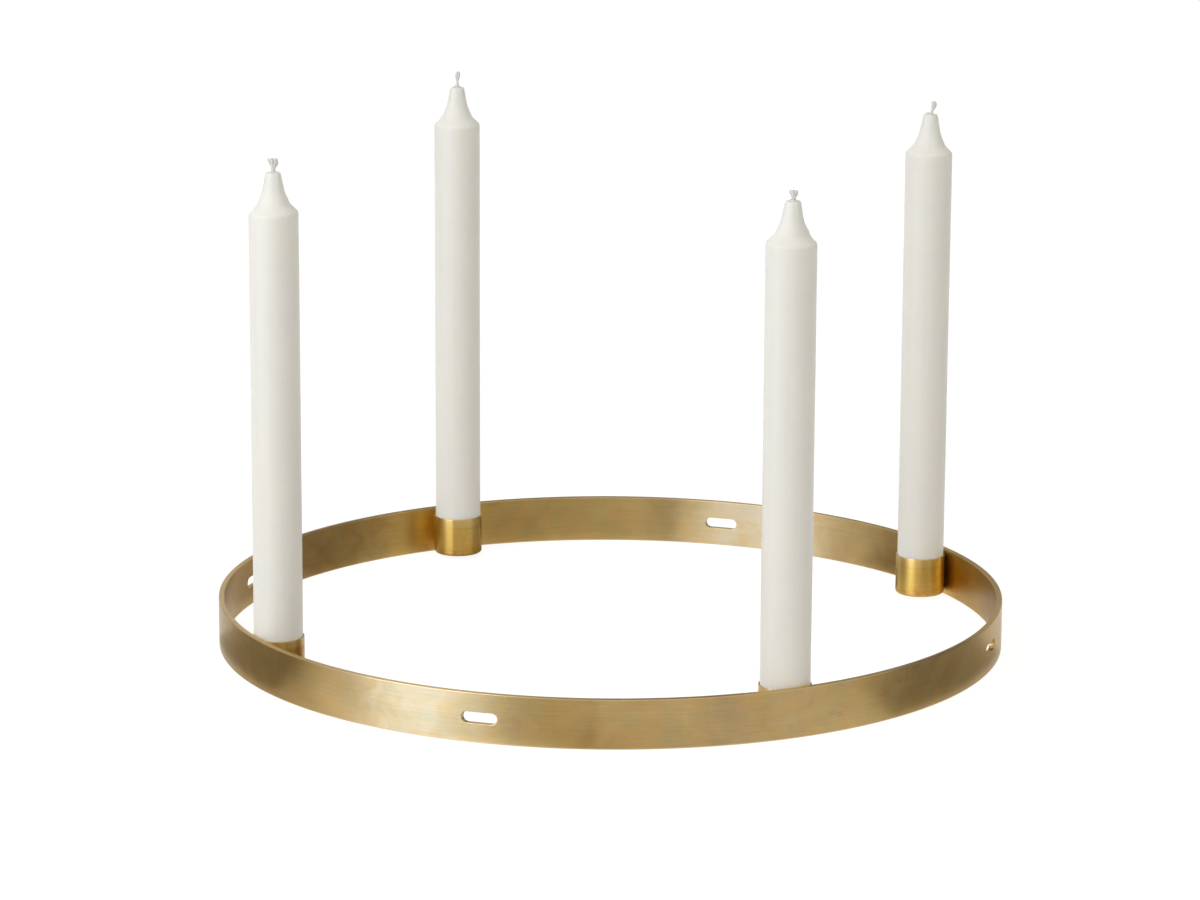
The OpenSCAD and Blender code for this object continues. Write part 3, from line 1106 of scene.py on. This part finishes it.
def addCard(name, headings, low, high, tone):
    # a curved sheet that only the brass mirrors; one at no height lies just above the floor
    steps = studio["cardSteps"]
    lift = studio["floorBelow"] / 2
    start, end = headings
    points, faces = [], []
    for s in range(steps + 1):
        heading = math.radians(start + (end - start) * s / steps)
        points += [polar(away, heading, height - lift) for away, height in (low, high)]
    for s in range(steps):
        faces.append([2 * s, 2 * s + 2, 2 * s + 3, 2 * s + 1])
    piece = makePiece(name, points, faces)
    material, tree, shader = newMaterial(name)
    setInputs(shader, {"Base Color": (*tone, 1), "Roughness": studio["cardRoughness"]})
    piece.data.materials.append(material)
    piece.visible_camera = False
    piece.visible_diffuse = False
    piece.visible_shadow = False


def addLamp(lamp):
    light = bpy.data.lights.new(lamp["name"], "AREA")
    light.shape = "RECTANGLE"
    light.size = lamp["width"]
    light.size_y = lamp["tall"]
    light.energy = lamp["power"]
    light.color = lamp.get("tint", (1, 1, 1))
    holder = bpy.data.objects.new(lamp["name"], light)
    spot = polar(lamp["away"], math.radians(lamp["heading"]), lamp["height"])
    aim = (Vector((0, 0, studio["aimHeight"])) - spot).to_track_quat("-Z", "Y")
    holder.matrix_world = Matrix.Translation(spot) @ aim.to_matrix().to_4x4()
    holder.visible_diffuse = lamp.get("lights", True)
    holder.visible_glossy = lamp.get("mirrored", True)
    bpy.context.scene.collection.objects.link(holder)


def addWorld():
    world = bpy.data.worlds.new("studio")
    world.use_nodes = True
    bpy.context.scene.world = world
    tree = world.node_tree
    tree.nodes.clear()
    dim = addNode(tree, "ShaderNodeBackground", None, Color=(*studio["ambient"], 1), Strength=1.0)
    white = addNode(tree, "ShaderNodeBackground", None, Color=(1, 1, 1, 1), Strength=1.0)
    choose = addNode(tree, "ShaderNodeMixShader")
    out = addNode(tree, "ShaderNodeOutputWorld")
    link = tree.links.new
    link(seenFactor(tree), choose.inputs["Fac"])
    link(dim.outputs[0], choose.inputs[1])
    link(white.outputs[0], choose.inputs[2])
    link(choose.outputs[0], out.inputs["Surface"])
    world.cycles.sampling_method = "NONE"


addCamera()
addWorld()
addFloor()
for name, (headings, low, high, tone) in studio["cards"].items():
    addCard(name, headings, low, high, tone)
for name, (headings, near, far, tone) in studio["paintedFloorShade"].items():
    addCard(name, headings, (near, 0.0), (far, 0.0), tone)
for lamp in studio["lamps"]:
    addLamp(lamp)
bpy.context.scene.view_settings.view_transform = "Standard"
print("camera, floor and lamps are in place")

bandMaterial = makeBrass(bandBrass)
cupMaterial = makeBrass(cupBrass)
brazeMaterial = makeBrass(brazeBrass)
brazeOnCad = makeBrass({**brazeBrass, "name": "brazeFillet"}, onCad=True)
waxMaterial = makeWax(waxLook)
cottonMaterial = makeCotton(cottonLook)

bandSize = readBand()
brassBand = buildBand(bandSize)
brassBand.data.materials.append(bandMaterial)
sharpen(brassBand, 50)
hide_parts("ring_band")
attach(brassBand, "holder")
bandSeam = buildSeam(bandSize)
bandSeam.data.materials.append(brazeMaterial)
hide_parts("ring_seam")
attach(bandSeam, "holder")
print("band and seam are built")

for place in places:
    turned = buildCup(place)
    turned.data.materials.append(cupMaterial)
    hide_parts(f"cup_{place}")
    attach(turned, "holder")
    fillet = cadNodes[f"braze_{place}"]
    fillet.data.materials.clear()
    fillet.data.materials.append(brazeOnCad)
    wax = buildCandle(place)
    wax.data.materials.append(waxMaterial)
    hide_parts(f"candle_{place}")
    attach(wax, f"candle_{place}")
    cotton = buildWick(place)
    cotton.data.materials.append(cottonMaterial)
    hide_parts(f"wick_{place}")
    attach(cotton, f"candle_{place}")
print("cups, candles and wicks are built")
